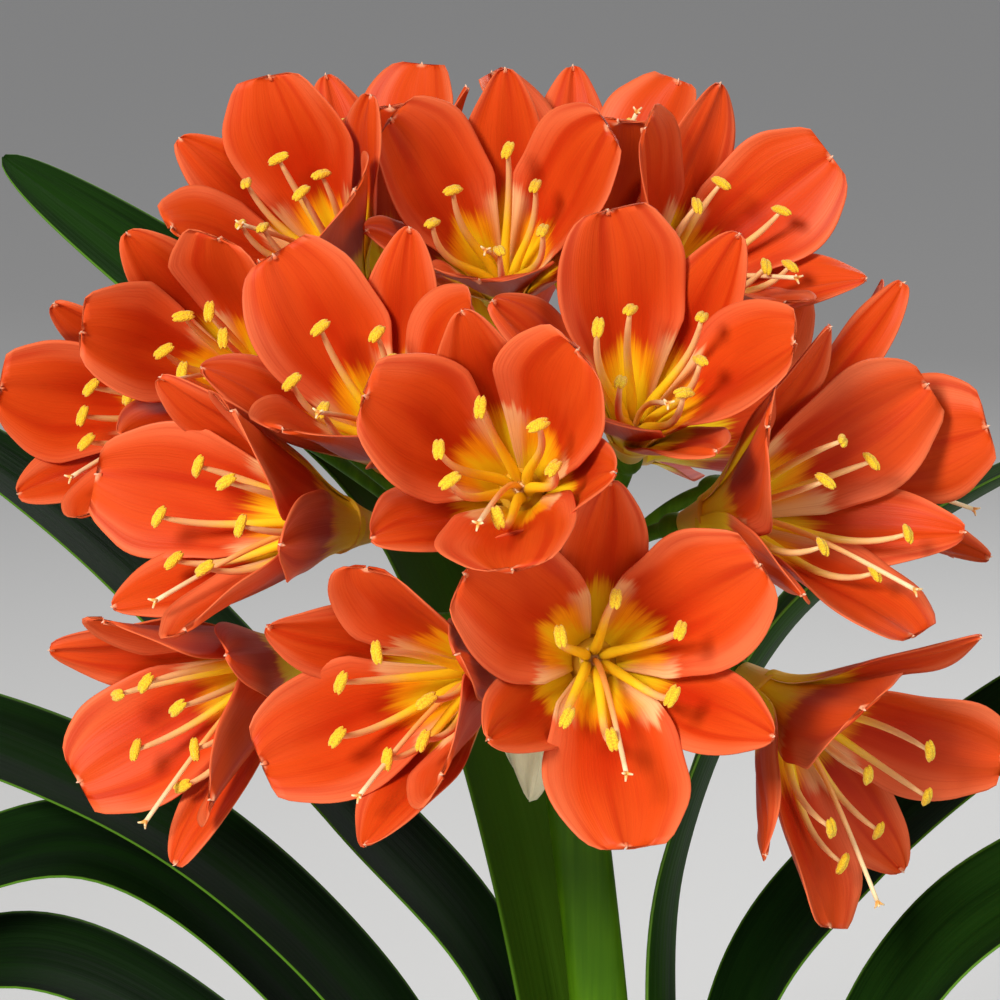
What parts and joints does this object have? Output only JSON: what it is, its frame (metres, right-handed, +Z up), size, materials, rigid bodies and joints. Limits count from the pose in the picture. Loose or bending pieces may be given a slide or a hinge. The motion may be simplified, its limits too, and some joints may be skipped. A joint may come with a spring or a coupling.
{
  "type": "potted clivia",
  "caption": "Potted clivia with a fan of strap leaves and a stalk carrying a round umbel of orange, yellow-throated, funnel-shaped blooms, in a plain round clay pot.",
  "frame": {"origin": "centre of the pot's flat underside", "axes": "+Z up along the pot's axis, -Y towards the side the flower head is seen from, leaves fan out along +X and -X"},
  "size_m": [0.5056, 0.2562, 0.5615],
  "materials": {
    "pot": "unglazed fired clay",
    "soil": "moist bark potting mix",
    "stalk": "smooth fresh stem",
    "bracts": "dry papery",
    "leaf": "satin, slightly waxy",
    "petal": "soft satin, orange with a yellow throat",
    "stamen": "matte pollen"
  },
  "bodies": {
    "root": {"pot": "pot", "soil": "soil", "flower_stalk": "stalk", "spathe_bracts": "bracts", "leaf_left_1": "leaf", "leaf_left_2": "leaf", "leaf_left_3": "leaf", "leaf_left_4": "leaf", "leaf_left_5": "leaf", "leaf_left_6": "leaf", "leaf_right_1": "leaf", "leaf_right_2": "leaf", "leaf_right_3": "leaf", "leaf_right_4": "leaf", "leaf_right_5": "leaf", "bloom_01": "petal", "bloom_02": "petal", "bloom_03": "petal", "bloom_04": "petal", "bloom_05": "petal", "bloom_06": "petal", "bloom_07": "petal", "bloom_08": "petal", "bloom_09": "petal", "bloom_10": "petal", "bloom_11": "petal", "bloom_12": "petal", "bloom_13": "petal", "bloom_14": "petal", "bloom_15": "petal", "bloom_16": "petal", "bloom_17": "petal", "bloom_18": "petal", "bloom_19": "petal", "stamens_01": "stamen", "stamens_02": "stamen", "stamens_03": "stamen", "stamens_04": "stamen", "stamens_05": "stamen", "stamens_06": "stamen", "stamens_07": "stamen", "stamens_08": "stamen", "stamens_09": "stamen", "stamens_10": "stamen", "stamens_11": "stamen", "stamens_12": "stamen", "stamens_13": "stamen", "stamens_14": "stamen", "stamens_15": "stamen", "stamens_16": "stamen", "stamens_17": "stamen", "stamens_18": "stamen", "stamens_19": "stamen"}
  },
  "joints": []
}
